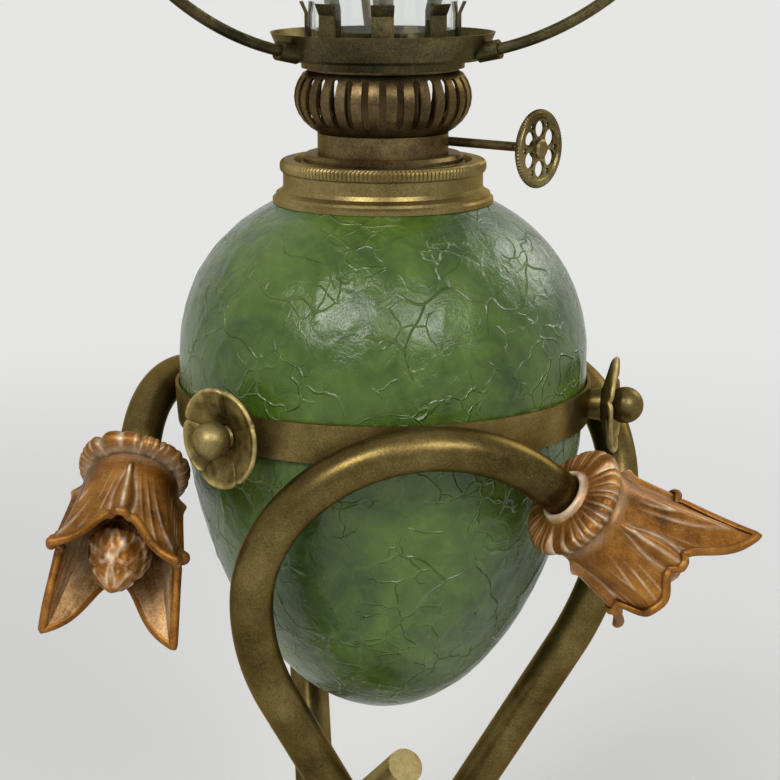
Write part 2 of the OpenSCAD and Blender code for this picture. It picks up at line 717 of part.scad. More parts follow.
// Flowers, in a frame with its heading out of the stalk's end

module in_flower(turn) rotate([0, 0, turn]) at(flower_at) children();

module calyx(turn) {
    ruffle_r = 0.24 * calyx_r;
    color(rust_brass) in_flower(turn) difference() {
        rotate_extrude() polygon([
            [tail_r + seat, 0], [tail_r + 2, 0.4], [calyx_r - 4.5, calyx_d - 6], [calyx_r, calyx_d - 4],
            [calyx_r, calyx_d - 1.6], [calyx_r - 2, calyx_d - 0.6], [bell_r - 1.5, calyx_d],
            [tail_r + seat, calyx_d]]);
        for (i = [0:calyx_ruffles - 1]) rotate([0, 0, 360 * i / calyx_ruffles])
            translate([calyx_r + ruffle_r * 0.72, 0, -eps]) cylinder(r = ruffle_r, h = calyx_d + 2 * eps);
    }
}

module calyx_front() calyx(stalk_turns[0]);
module calyx_right() calyx(stalk_turns[1]);
module calyx_left() calyx(stalk_turns[2]);

// The bell flares from its shoulder to the petals' tips and is cut into pointed petals
module flower(turn) {
    steps = 8;
    shoulder = 4;
    flare = [for (i = [0:steps]) let (t = i / steps)
        [bell_r + (petal_r - bell_r) * pow(t, 1.35), calyx_d + shoulder + (petal_len - shoulder) * t]];
    gap_half = petal_r * sin(180 / petal_count);
    arch_r = 3;
    notch_z = calyx_d + notch_at;
    tip_z = calyx_d + petal_len;
    color(rust_brass) in_flower(turn) rotate([0, 0, petal_roll]) difference() {
        rotate_extrude() polygon(concat(
            [[tail_r + seat, calyx_d], [bell_r - 2, calyx_d]], flare,
            [for (i = [steps:-1:0]) [flare[i][0] - flower_wall, flare[i][1]]],
            [[bell_r - 2 - flower_wall, calyx_d + flower_wall], [tail_r + seat, calyx_d + flower_wall]]));
        for (i = [0:petal_count - 1]) rotate([0, 0, 360 * (i + 0.5) / petal_count]) rotate([90, 0, 90])
            linear_extrude(2 * petal_r) {
                translate([0, notch_z + arch_r]) circle(r = arch_r);
                polygon([[-arch_r, notch_z + arch_r], [arch_r, notch_z + arch_r],
                    [gap_half - 0.6, tip_z], [gap_half, tip_z + eps],
                    [-gap_half, tip_z + eps], [-gap_half + 0.6, tip_z]]);
            }
    }
}

module flower_front() flower(stalk_turns[0]);
module flower_right() flower(stalk_turns[1]);
module flower_left() flower(stalk_turns[2]);

module bud(turn) {
    steps = 14;
    foot = calyx_d + bud_gap;
    stem_r = tail_r - stalk_wall - seat;
    body = [for (i = [1:steps]) let (t = i / steps)
        [bud_r * pow(sin(180 * pow(t, 0.9)), 0.75) + (i == steps ? 0 : 0.01), foot + bud_len * t]];
    color(rust_brass) in_flower(turn) rotate_extrude() polygon(concat(
        [[0, calyx_d - 6], [stem_r, calyx_d - 6], [stem_r, calyx_d + 6], [3.2, calyx_d + 9], [3.2, foot + 0.6]],
        body));
}

module bud_front() bud(stalk_turns[0]);
module bud_right() bud(stalk_turns[1]);
module bud_left() bud(stalk_turns[2]);

glass_font();
font_collar();
screw_ring();
burner_base();
burner_basket();
outer_wick_tube();
draught_tube();
wick();
wick_carrier();
winder_shaft();
winder_pinion();
winder_wheel();
winder_sleeve();
gallery();
shade_cup();
shade_arm_left();
shade_arm_right();
shade_arm_back();
shade_ring();
chimney();
font_band();
band_bosses();
rosette_front();
rosette_right();
rosette_back();
ball_screw_front();
ball_screw_right();
ball_screw_back();
stalk_front();
stalk_right();
stalk_left();
foot_front();
foot_right();
foot_left();
stay();
stalk_tie();
calyx_front();
calyx_right();
calyx_left();
flower_front();
flower_right();
flower_left();
bud_front();
bud_right();
bud_left();
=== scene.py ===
import json
from math import asin, atan2, cos, exp, pi, radians, sin, sqrt

import bmesh
import bpy
from mathutils import Matrix, Vector, noise


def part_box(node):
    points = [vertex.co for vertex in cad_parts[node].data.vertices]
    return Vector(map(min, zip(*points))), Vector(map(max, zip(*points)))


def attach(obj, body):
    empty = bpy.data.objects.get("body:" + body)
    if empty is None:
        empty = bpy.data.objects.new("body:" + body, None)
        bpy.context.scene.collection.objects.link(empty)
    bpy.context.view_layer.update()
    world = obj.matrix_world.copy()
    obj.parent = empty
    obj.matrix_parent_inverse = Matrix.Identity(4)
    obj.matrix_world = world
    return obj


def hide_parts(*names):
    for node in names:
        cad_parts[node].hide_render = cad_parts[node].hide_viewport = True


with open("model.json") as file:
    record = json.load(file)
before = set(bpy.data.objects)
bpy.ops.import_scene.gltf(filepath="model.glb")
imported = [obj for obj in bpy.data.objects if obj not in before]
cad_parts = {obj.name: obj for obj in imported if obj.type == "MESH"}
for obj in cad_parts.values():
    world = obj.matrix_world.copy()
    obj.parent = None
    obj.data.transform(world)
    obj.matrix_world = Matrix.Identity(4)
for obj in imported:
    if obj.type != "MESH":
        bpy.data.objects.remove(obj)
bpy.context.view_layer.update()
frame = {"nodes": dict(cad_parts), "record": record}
nodes = frame["nodes"]
MM = 0.001


# Camera and studio.
# The lamp stands on a pale plain table in soft light, and the camera looks at the font
# from slightly above, as the photograph does.

camera_data = bpy.data.cameras.new("photo_camera")
camera_data.sensor_width = 36
camera_data.lens = 95.5
camera = bpy.data.objects.new("photo_camera", camera_data)
camera.location = (2.5 * MM, -743 * MM, 464.3 * MM)
camera.rotation_euler = (radians(90 - 13.2), 0, 0)
bpy.context.scene.collection.objects.link(camera)
bpy.context.scene.camera = camera
bpy.context.scene.view_settings.view_transform = "Standard"

studio_tone = (0.93, 0.93, 0.92, 1)
studio_seen = 0.85
studio_fill = 0.35


def seen_directly(tree):
    path = tree.nodes.new("ShaderNodeLightPath")
    share = path.outputs["Is Camera Ray"]
    for ray in ("Is Glossy Ray", "Is Transmission Ray"):
        either = tree.nodes.new("ShaderNodeMath")
        either.operation = "MAXIMUM"
        tree.links.new(share, either.inputs[0])
        tree.links.new(path.outputs[ray], either.inputs[1])
        share = either.outputs[0]
    return share


world = bpy.data.worlds.new("studio")
world.use_nodes = True
bpy.context.scene.world = world
background = world.node_tree.nodes["Background"]
background.inputs["Color"].default_value = studio_tone
world_level = world.node_tree.nodes.new("ShaderNodeMapRange")
world_level.inputs["To Min"].default_value = studio_fill
world_level.inputs["To Max"].default_value = studio_seen
world.node_tree.links.new(seen_directly(world.node_tree), world_level.inputs["Value"])
world.node_tree.links.new(world_level.outputs["Result"], background.inputs["Strength"])


def soft_box(name, place, target, size, watts):
    lamp = bpy.data.lights.new(name, "AREA")
    lamp.size = size
    lamp.energy = watts
    lamp_object = bpy.data.objects.new(name, lamp)
    lamp_object.location = place
    lamp_object.rotation_euler = (Vector(target) - Vector(place)).to_track_quat("-Z", "Y").to_euler()
    bpy.context.scene.collection.objects.link(lamp_object)


font_middle = (0, 0, 0.29)
soft_box("key_box", (-0.55, -1.1, 1.25), font_middle, 0.5, 16)
soft_box("second_box", (0.6, -1.2, 1.15), font_middle, 0.5, 11)
soft_box("rim_box", (1.2, 0.9, 1.2), font_middle, 0.8, 10)

table_half = 4
table_fade_start = 0.35
table_fade_end = 1.6
floor_bm = bmesh.new()
bmesh.ops.create_grid(floor_bm, x_segments=1, y_segments=1, size=table_half)
floor_mesh = bpy.data.meshes.new("table_top")
floor_bm.to_mesh(floor_mesh)
floor_bm.free()
table_top = bpy.data.objects.new("table_top", floor_mesh)
bpy.context.scene.collection.objects.link(table_top)
table_paint = bpy.data.materials.new("table_paint")
table_paint.use_nodes = True
table_nodes = table_paint.node_tree.nodes
table_links = table_paint.node_tree.links
table_shader = table_nodes["Principled BSDF"]
table_shader.inputs["Base Color"].default_value = (0.82, 0.82, 0.80, 1)
table_shader.inputs["Roughness"].default_value = 0.7
table_coords = table_nodes.new("ShaderNodeTexCoord")
table_reach = table_nodes.new("ShaderNodeVectorMath")
table_reach.operation = "LENGTH"
table_far = table_nodes.new("ShaderNodeMapRange")
table_far.interpolation_type = "SMOOTHSTEP"
table_far.inputs["From Min"].default_value = table_fade_start
table_far.inputs["From Max"].default_value = table_fade_end
table_share = table_nodes.new("ShaderNodeMath")
table_share.operation = "MULTIPLY"
table_glow = table_nodes.new("ShaderNodeEmission")
table_glow.inputs["Color"].default_value = studio_tone
table_glow.inputs["Strength"].default_value = studio_seen
table_mix = table_nodes.new("ShaderNodeMixShader")
table_links.new(table_coords.outputs["Object"], table_reach.inputs[0])
table_links.new(table_reach.outputs["Value"], table_far.inputs["Value"])
table_links.new(seen_directly(table_paint.node_tree), table_share.inputs[0])
table_links.new(table_far.outputs["Result"], table_share.inputs[1])
table_links.new(table_share.outputs[0], table_mix.inputs["Fac"])
table_links.new(table_shader.outputs["BSDF"], table_mix.inputs[1])
table_links.new(table_glow.outputs["Emission"], table_mix.inputs[2])
table_links.new(table_mix.outputs["Shader"], table_nodes["Material Output"].inputs["Surface"])
floor_mesh.materials.append(table_paint)


# Stalks.
# Each stalk is one brass tube, bent in several planes: level at its foot, up past its neighbours,
# round a crook that is soldered to the font band, and over into a flower. It is dulled by age.

stalk_r = 7.5 * MM
stalk_wall = 1.5 * MM
stalk_turns = {"front": 0, "right": 120, "left": 240}
touch_az = radians(-82)
touch_slope = radians(4.4)
crook_lean = radians(19)
crook_r = 58.7 * MM
crook_back = radians(85.8)
crook_fore = radians(44)
crook_tail = 13 * MM
riser_twist = radians(7.7)
riser_bend_r = 97.8 * MM
riser_bend = radians(26.3)
foot_bend_r = 70 * MM
foot_run = 26 * MM
foot_z = 9.5 * MM
font_r = 75 * MM
font_eq_z = 303 * MM
font_low = 134 * MM
band_low, band_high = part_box("font_band")
band_mid = (band_low.z + band_high.z) / 2


def along(point, side, heading, length):
    return point + heading * length, side, heading


def bent(point, side, heading, bend_r, angle):
    moved = point + side * bend_r * (1 - cos(angle)) + heading * bend_r * sin(angle)
    return moved, side * cos(angle) - heading * sin(angle), heading * cos(angle) + side * sin(angle)


def rolled(point, side, heading, angle):
    return point, side * cos(angle) + heading.cross(side) * sin(angle), heading


def bowl_r(z):
    return font_r * sqrt(max(0, 1 - ((font_eq_z - z) / font_low) ** 2))


touch_z = band_mid + 0.7 * MM
band_t = 1.35 * MM
out_dir = Vector((cos(touch_az), sin(touch_az), 0))
side_dir = Vector((-sin(touch_az), cos(touch_az), 0))
up_dir = Vector((0, 0, 1))
touch_point = out_dir * (bowl_r(touch_z) + band_t + 0.05 * MM + stalk_r) + up_dir * touch_z
touch_heading = side_dir * cos(touch_slope) + up_dir * sin(touch_slope)
touch_drop = side_dir * sin(touch_slope) - up_dir * cos(touch_slope)
touch_side = touch_drop * cos(crook_lean) - out_dir * sin(crook_lean)
crook_end = bent(touch_point, touch_side, touch_heading, crook_r, crook_fore)
flower_frame = along(*crook_end, crook_tail)
riser_bend_start = rolled(*bent(touch_point, touch_side, -touch_heading, crook_r, crook_back), riser_twist)
riser_start = bent(*riser_bend_start, riser_bend_r, riser_bend)
riser_dir = riser_start[2]
foot_bend = asin(-riser_dir.z)
riser_len = (riser_start[0].z - foot_z - foot_bend_r * (1 - cos(foot_bend))) / -riser_dir.z


def run_on(bm, ring, step):
    grown = bmesh.ops.extrude_edge_only(bm, edges=ring)["geom"]
    verts = [g for g in grown if isinstance(g, bmesh.types.BMVert)]
    bmesh.ops.translate(bm, vec=step, verts=verts)
    new = set(verts)
    return [g for g in grown if isinstance(g, bmesh.types.BMEdge) and set(g.verts) <= new]


def bend_on(bm, ring, point, side, heading, bend_r, angle):
    steps = max(6, round(angle * bend_r / (3 * MM)))
    spun = bmesh.ops.spin(
        bm, geom=ring, cent=point + side * bend_r, axis=heading.cross(side), angle=angle, steps=steps
    )
    return [g for g in spun["geom_last"] if isinstance(g, bmesh.types.BMEdge)]


def placed(point, side, heading, turn=0):
    across = heading.cross(side)
    axes = Matrix((side, across, heading)).transposed().to_4x4()
    return Matrix.Rotation(radians(turn), 4, "Z") @ Matrix.Translation(point) @ axes


def brass_finish(name, shadow, tone, rubbed, rough, patch=28, relief=0.25, metallic=0.85):
    material = bpy.data.materials.new(name)
    material.use_nodes = True
    tree = material.node_tree
    shader = tree.nodes["Principled BSDF"]
    coords = tree.nodes.new("ShaderNodeTexCoord")
    patches = tree.nodes.new("ShaderNodeTexNoise")
    patches.inputs["Scale"].default_value = patch
    patches.inputs["Detail"].default_value = 7
    patches.inputs["Roughness"].default_value = 0.62
    grain = tree.nodes.new("ShaderNodeTexNoise")
    grain.inputs["Scale"].default_value = 1500
    grain.inputs["Detail"].default_value = 3
    speckle = tree.nodes.new("ShaderNodeMath")
    speckle.operation = "MULTIPLY_ADD"
    speckle.inputs[1].default_value = 0.4
    ramp = tree.nodes.new("ShaderNodeValToRGB")
    ramp.color_ramp.elements[0].position = 0.52
    ramp.color_ramp.elements[0].color = (*shadow, 1)
    ramp.color_ramp.elements[1].position = 0.92
    ramp.color_ramp.elements[1].color = (*rubbed, 1)
    middle = ramp.color_ramp.elements.new(0.70)
    middle.color = (*tone, 1)
    roughness = tree.nodes.new("ShaderNodeMapRange")
    roughness.inputs["From Min"].default_value = 0.3
    roughness.inputs["From Max"].default_value = 0.7
    roughness.inputs["To Min"].default_value = rough - 0.08
    roughness.inputs["To Max"].default_value = rough + 0.1
    bump = tree.nodes.new("ShaderNodeBump")
    bump.inputs["Strength"].default_value = relief
    bump.inputs["Distance"].default_value = 0.1 * MM
    tree.links.new(coords.outputs["Object"], patches.inputs["Vector"])
    tree.links.new(coords.outputs["Object"], grain.inputs["Vector"])
    tree.links.new(grain.outputs["Fac"], speckle.inputs[0])
    tree.links.new(patches.outputs["Fac"], speckle.inputs[2])
    tree.links.new(speckle.outputs[0], ramp.inputs["Fac"])
    tree.links.new(ramp.outputs["Color"], shader.inputs["Base Color"])
    tree.links.new(patches.outputs["Fac"], roughness.inputs["Value"])
    tree.links.new(roughness.outputs["Result"], shader.inputs["Roughness"])
    tree.links.new(grain.outputs["Fac"], bump.inputs["Height"])
    tree.links.new(bump.outputs["Normal"], shader.inputs["Normal"])
    shader.inputs["Metallic"].default_value = metallic
    shader.inputs["Specular Tint"].default_value = (0.60, 0.48, 0.30, 1)
    return material


def settle(bm, name, material, body, replaced=()):
    bmesh.ops.recalc_face_normals(bm, faces=bm.faces)
    mesh = bpy.data.meshes.new(name)
    bm.to_mesh(mesh)
    bm.free()
    for face in mesh.polygons:
        face.use_smooth = True
    mesh.materials.append(material)
    piece = bpy.data.objects.new(name, mesh)
    bpy.context.scene.collection.objects.link(piece)
    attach(piece, body)
    if replaced:
        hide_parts(*replaced)
    return piece


stalk_brass = brass_finish(
    "stalk_brass", (0.042, 0.030, 0.009), (0.100, 0.071, 0.022), (0.20, 0.148, 0.055), 0.33)
tail_plug = 9 * MM
for name, turn in stalk_turns.items():
    bm = bmesh.new()
    tail_end = along(*crook_end, crook_tail + tail_plug)
    tube_start = placed(tail_end[0], tail_end[1], -tail_end[2])
    bmesh.ops.create_circle(bm, segments=48, radius=stalk_r, matrix=tube_start)
    ring = run_on(bm, bm.edges[:], -tail_end[2] * (crook_tail + tail_plug))
    ring = bend_on(bm, ring, crook_end[0], crook_end[1], -crook_end[2], crook_r, crook_fore + crook_back)
    ring = bend_on(bm, ring, *riser_bend_start, riser_bend_r, riser_bend)
    ring = run_on(bm, ring, riser_dir * riser_len)
    foot_side = (up_dir - riser_dir * riser_dir.z).normalized()
    foot_start = along(*riser_start, riser_len)
    ring = bend_on(bm, ring, foot_start[0], foot_side, riser_dir, foot_bend_r, foot_bend)
    level = Vector((riser_dir.x, riser_dir.y, 0)).normalized()
    ring = run_on(bm, ring, level * foot_run)
    bmesh.ops.rotate(bm, verts=bm.verts, cent=(0, 0, 0), matrix=Matrix.Rotation(radians(turn), 3, "Z"))
    tube = settle(bm, "stalk_tube_" + name, stalk_brass, "lamp", ["stalk_" + name])
    wall = tube.modifiers.new("tube_wall", "SOLIDIFY")
    wall.thickness = stalk_wall
    wall.offset = -1


# Feet, tie and stay.
# Turned and cut brass: ball feet on the stalks' ends, the spool that ties the stalks where they
# cross, and a cut rod soldered behind the front stalk. All keep their solids and take a finish.

def dress(names, material):
    for node in names:
        nodes[node].data.materials.clear()
        nodes[node].data.materials.append(material)


turned_brass = brass_finish(
    "turned_brass", (0.065, 0.048, 0.017), (0.15, 0.113, 0.042), (0.29, 0.225, 0.095), 0.40)
cut_brass = brass_finish(
    "cut_brass", (0.17, 0.125, 0.045), (0.32, 0.25, 0.10), (0.50, 0.41, 0.19), 0.42, patch=60)
dress(["foot_front", "foot_right", "foot_left", "stalk_tie"], turned_brass)
dress(["stay"], cut_brass)


# Glass font.
# A blown egg of dark green glass, rolled hot over chips and reblown, so that a net of fine
# creases and flakes stands on its surface. Its neck goes up into the collar.

font_up = 65 * MM
font_full = 2.2
glass_wall = 4 * MM
neck_r = 32 * MM
neck_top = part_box("glass_font")[1].z


def shoulder_r(rise, inset):
    return (font_r - inset) * (1 - rise ** font_full) ** (1 / font_full)


def font_profile(inset, mouth_r, bowl_rows, shoulder_rows):
    rise_top = (1 - (mouth_r / (font_r - inset)) ** font_full) ** (1 / font_full)
    points = []
    for i in range(bowl_rows + 1):
        angle = radians(-90 + 90 * i / bowl_rows)
        points.append(((font_r - inset) * cos(angle), font_eq_z + (font_low - inset) * sin(angle)))
    for i in range(1, shoulder_rows + 1):
        rise = rise_top * sin(radians(90 * i / shoulder_rows))
        points.append((shoulder_r(rise, inset), font_eq_z + (font_up - inset) * rise))
    return points


def turned_piece(bm, outline, segments):
    verts = [bm.verts.new((r, 0, z)) for r, z in outline]
    edges = [bm.edges.new(pair) for pair in zip(verts, verts[1:])]
    bmesh.ops.spin(
        bm, geom=verts + edges, cent=(0, 0, 0), axis=(0, 0, 1), angle=2 * pi, steps=segments,
        use_merge=True)
    bmesh.ops.remove_doubles(bm, verts=bm.verts, dist=1e-6)


def crackled_glass():
    material = bpy.data.materials.new("crackled_green_glass")
    material.use_nodes = True
    tree = material.node_tree
    links = tree.links
    shader = tree.nodes["Principled BSDF"]
    coords = tree.nodes.new("ShaderNodeTexCoord")

    def cloud(scale, detail, distortion=0.0, rough=0.6):
        texture = tree.nodes.new("ShaderNodeTexNoise")
        texture.inputs["Scale"].default_value = scale
        texture.inputs["Detail"].default_value = detail
        texture.inputs["Roughness"].default_value = rough
        texture.inputs["Distortion"].default_value = distortion
        links.new(coords.outputs["Object"], texture.inputs["Vector"])
        return texture.outputs["Fac"]

    def spread(value, low, high, to_low=0.0, to_high=1.0):
        node = tree.nodes.new("ShaderNodeMapRange")
        node.inputs["From Min"].default_value = low
        node.inputs["From Max"].default_value = high
        node.inputs["To Min"].default_value = to_low
        node.inputs["To Max"].default_value = to_high
        links.new(value, node.inputs["Value"])
        return node.outputs["Result"]

    def combined(operation, first, second):
        node = tree.nodes.new("ShaderNodeMath")
        node.operation = operation
        links.new(first, node.inputs[0])
        if isinstance(second, float):
            node.inputs[1].default_value = second
        else:
            links.new(second, node.inputs[1])
        return node.outputs[0]

    def wrinkles(scale, width, sway, breaks):
        drift = tree.nodes.new("ShaderNodeTexNoise")
        drift.inputs["Scale"].default_value = scale * 1.3
        drift.inputs["Detail"].default_value = 1.5
        links.new(coords.outputs["Object"], drift.inputs["Vector"])
        swayed = tree.nodes.new("ShaderNodeVectorMath")
        swayed.operation = "MULTIPLY_ADD"
        swayed.inputs[1].default_value = (sway * MM, sway * MM, sway * MM)
        links.new(drift.outputs["Color"], swayed.inputs[0])
        links.new(coords.outputs["Object"], swayed.inputs[2])
        net = tree.nodes.new("ShaderNodeTexVoronoi")
        net.feature = "DISTANCE_TO_EDGE"
        net.inputs["Scale"].default_value = scale
        links.new(swayed.outputs["Vector"], net.inputs["Vector"])
        thread = spread(net.outputs["Distance"], 0, width * MM * scale, 1, 0)
        return combined("MULTIPLY", thread, spread(cloud(breaks, 2), 0.47, 0.58))

    def relief(height, strength, distance, under=None):
        bump = tree.nodes.new("ShaderNodeBump")
        bump.inputs["Strength"].default_value = strength
        bump.inputs["Distance"].default_value = distance * MM
        links.new(height, bump.inputs["Height"])
        if under:
            links.new(under, bump.inputs["Normal"])
        return bump.outputs["Normal"]

    long_creases = wrinkles(34, 0.55, 26, 30)
    short_creases = wrinkles(85, 0.45, 9, 42)
    creases = combined("MAXIMUM", long_creases, combined("MULTIPLY", short_creases, 0.7))
    crumple = cloud(95, 6, 1.2, 0.68)
    flakes = combined("ADD", cloud(20, 3, 1.5), combined("MULTIPLY", crumple, 0.45))
    tint = tree.nodes.new("ShaderNodeValToRGB")
    tint.color_ramp.elements[0].position = 0.56
    tint.color_ramp.elements[0].color = (0.018, 0.045, 0.004, 1)
    tint.color_ramp.elements[1].position = 0.90
    tint.color_ramp.elements[1].color = (0.066, 0.118, 0.013, 1)
    links.new(flakes, tint.inputs["Fac"])
    # Along the creases the green is mixed toward a paler tone: a painted highlight on the raised creases,
    # on top of their real relief.
    crease_painted_highlight = tree.nodes.new("ShaderNodeMix")
    crease_painted_highlight.data_type = "RGBA"
    crease_painted_highlight.inputs[7].default_value = (0.13, 0.19, 0.055, 1)
    links.new(combined("MULTIPLY", creases, 0.35), crease_painted_highlight.inputs["Factor"])
    links.new(tint.outputs["Color"], crease_painted_highlight.inputs[6])
    links.new(crease_painted_highlight.outputs[2], shader.inputs["Base Color"])
    links.new(spread(crumple, 0.3, 0.7, 0.17, 0.30), shader.inputs["Roughness"])
    rolled_skin = relief(crumple, 0.6, 0.85)
    creased_skin = relief(creases, 1.0, 0.55, rolled_skin)
    links.new(relief(cloud(480, 5), 0.6, 0.3, creased_skin), shader.inputs["Normal"])
    shader.inputs["IOR"].default_value = 1.5
    shader.inputs["Specular IOR Level"].default_value = 0.42
    return material


collar_seat_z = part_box("font_collar")[0].z - 1 * MM
pole_r = 5 * MM
skin_depth = 0.35 * MM
skin_size = 6 * MM
skin_tolerance = 1 * MM
crease_h = 0.4 * MM
crease_width = 0.14
crease_apart = 24 * MM
crease_sway = 7 * MM
sway_apart = 0.8 * crease_apart
sway_shifts = [Vector((17 * i, 31 * i, 53 * i)) for i in range(3)]
mouth_flare = 0.5 * MM
font_steps = 384
outer_line = font_profile(0, neck_r, bowl_rows=110, shoulder_rows=56)
inner_line = font_profile(glass_wall, neck_r - glass_wall + mouth_flare, bowl_rows=24, shoulder_rows=16)
mouth = [(neck_r, neck_top), (inner_line[-1][0], neck_top)]
bm = bmesh.new()
turned_piece(bm, outer_line + mouth + inner_line[::-1], font_steps)
for v in bm.verts:
    rise = min(1, max(0, (v.co.z - font_eq_z) / font_up))
    skin_r = shoulder_r(rise, 0) if rise else bowl_r(v.co.z)
    if v.co.z < collar_seat_z and v.co.xy.length > max(skin_r - skin_tolerance, pole_r):
        sway = Vector([noise.noise(v.co / sway_apart + shift) for shift in sway_shifts])
        swayed = v.co + crease_sway * sway
        nearest, second = noise.voronoi(swayed / crease_apart)[0][:2]
        broken = min(1, max(0, 0.5 + 3 * noise.noise(v.co / crease_apart)))
        raised = broken * max(0, 1 - (second - nearest) / crease_width) ** 2
        sunk = skin_depth * (0.5 + 0.5 * noise.noise(v.co / skin_size)) + crease_h * (1 - raised)
        v.co.xy *= 1 - sunk / v.co.xy.length
settle(bm, "font_glass", crackled_glass(), "lamp", ["glass_font"])


# Band, bosses and ball screws.
# A plain brass hoop follows the glass, with a drilled boss at each rosette. The ball-headed
# screws hold the rosettes and take the turned brass of the feet.

band_brass = brass_finish(
    "band_brass", (0.075, 0.054, 0.016), (0.165, 0.12, 0.038), (0.29, 0.22, 0.085), 0.40)
dress(["font_band", "band_bosses"], band_brass)
dress(["ball_screw_front", "ball_screw_right", "ball_screw_back"], turned_brass)


# Rosettes.
# Each is a cast five-petal flower, dished, with a thick rolled edge and soft creases between
# its petals. It is dark in its hollows and rubbed to gold along the rim.

rosette_r = 17.4 * MM
rosette_turns = {"front": 229.5, "right": 349.5, "back": 109.5}
rosette_petals = 5
rosette_eye = 4.2 * MM
boss_h = 4.5 * MM


def on_band(azimuth):
    out = Vector((cos(radians(azimuth)), sin(radians(azimuth)), 0))
    point = out * (bowl_r(band_mid) + band_t) + up_dir * band_mid
    return placed(point + out * boss_h, -up_dir, out)


def petal_phase(angle, count):
    return 2 * abs((angle * count / (2 * pi) + 0.5) % 1 - 0.5)


def widen(bm, ring, radius, height):
    grown = bmesh.ops.extrude_edge_only(bm, edges=ring)["geom"]
    verts = [g for g in grown if isinstance(g, bmesh.types.BMVert)]
    for v in verts:
        v.co.xy = v.co.xy.normalized() * radius
        v.co.z = height
    new = set(verts)
    return [g for g in grown if isinstance(g, bmesh.types.BMEdge) and set(g.verts) <= new]


def cast_brass(name, recess, tone, rubbed, lime_wear_and_sheen, metallic=0.5):
    material = brass_finish(name, recess, tone, rubbed, 0.42, patch=70, relief=0.4)
    tree = material.node_tree
    shader = tree.nodes["Principled BSDF"]
    colour = shader.inputs["Base Color"].links[0].from_node
    # The pale mark read from the vertex attribute is lime deposit and rubbed wear, and on raised crests
    # partly a painted highlight. A noise breaks it up, and it lowers the metal where it lies.
    deposit_and_sheen = tree.nodes.new("ShaderNodeAttribute")
    deposit_and_sheen.attribute_name = "lime_wear_and_sheen"
    coords = tree.nodes.new("ShaderNodeTexCoord")
    mark_breakup = tree.nodes.new("ShaderNodeTexNoise")
    mark_breakup.inputs["Scale"].default_value = 260
    mark_breakup.inputs["Detail"].default_value = 6
    mark_breakup_share = tree.nodes.new("ShaderNodeMapRange")
    mark_breakup_share.inputs["From Min"].default_value = 0.30
    mark_breakup_share.inputs["From Max"].default_value = 0.62
    mark_breakup_share.inputs["To Min"].default_value = 0.35
    amount = tree.nodes.new("ShaderNodeMath")
    amount.operation = "MULTIPLY"
    limed_and_sheened = tree.nodes.new("ShaderNodeMix")
    limed_and_sheened.data_type = "RGBA"
    limed_and_sheened.inputs[7].default_value = (*lime_wear_and_sheen, 1)
    metal = tree.nodes.new("ShaderNodeMapRange")
    metal.inputs["To Min"].default_value = metallic
    metal.inputs["To Max"].default_value = metallic * 0.4
    tree.links.new(coords.outputs["Object"], mark_breakup.inputs["Vector"])
    tree.links.new(mark_breakup.outputs["Fac"], mark_breakup_share.inputs["Value"])
    tree.links.new(mark_breakup_share.outputs["Result"], amount.inputs[0])
    tree.links.new(deposit_and_sheen.outputs["Fac"], amount.inputs[1])
    tree.links.new(amount.outputs["Value"], limed_and_sheened.inputs["Factor"])
    tree.links.new(colour.outputs["Color"], limed_and_sheened.inputs[6])
    tree.links.new(limed_and_sheened.outputs[2], shader.inputs["Base Color"])
    tree.links.new(amount.outputs["Value"], metal.inputs["Value"])
    tree.links.new(metal.outputs["Result"], shader.inputs["Metallic"])
    return material


rosette_brass = cast_brass(
    "rosette_brass", (0.030, 0.023, 0.007), (0.090, 0.066, 0.020), (0.20, 0.15, 0.05), (0.42, 0.32, 0.12),
    metallic=0.85)
rosette_rows = 22
rosette_steps = 240
rosette_dish = 3.5
rosette_belly = 1.5
rosette_lip = 0.9
rosette_crease = 0.55
rosette_wall = 1.6 * MM

for name, azimuth in rosette_turns.items():
    bm = bmesh.new()
    bmesh.ops.create_circle(bm, segments=rosette_steps, radius=rosette_eye)
    lime_wear_and_sheen = bm.verts.layers.float.new("lime_wear_and_sheen")
    ring = bm.edges[:]
    for row in range(rosette_rows):
        ring = widen(bm, ring, rosette_eye + (rosette_r - rosette_eye) * (row + 1) / rosette_rows, 0)
    for v in bm.verts:
        share = max(0, v.co.xy.length - rosette_eye) / (rosette_r - rosette_eye)
        angle = atan2(v.co.y, v.co.x)
        phase = petal_phase(angle + 0.12 * sin(2 * angle + 1), rosette_petals)
        crease = (max(0, phase - 0.82) / 0.18) ** 2
        rim = max(0, share - 0.82) / 0.18
        v.co.xy *= 1 - share ** 2 * (0.03 * phase ** 2 + 0.03 * crease)
        dish = 0.7 + rosette_dish * share ** 1.5 + 0.35 * share * sin(2 * angle + 0.6)
        belly = rosette_belly * sin(pi * min(1, share * 0.92)) * (0.35 + 0.65 * (1 - phase ** 2))
        lip = rosette_lip * rim ** 2 * (1 - 0.5 * crease)
        v.co.z = (dish + belly - rosette_crease * share * crease + lip) * MM
        patchiness = noise.noise(v.co / (3 * MM) + Vector((azimuth, 0, 0)))
        v[lime_wear_and_sheen] = min(1, max(0, 0.75 * rim ** 1.5 + 0.5 * patchiness * share + 0.25 * (1 - phase) * share))
    bmesh.ops.transform(bm, matrix=on_band(azimuth), verts=bm.verts)
    rosette = settle(bm, "rosette_cast_" + name, rosette_brass, "lamp", ["rosette_" + name])
    thick = rosette.modifiers.new("cast_wall", "SOLIDIFY")
    thick.thickness = rosette_wall
    thick.offset = 0
    rounding = rosette.modifiers.new("cast_edge", "SUBSURF")
    rounding.levels = rounding.render_levels = 1
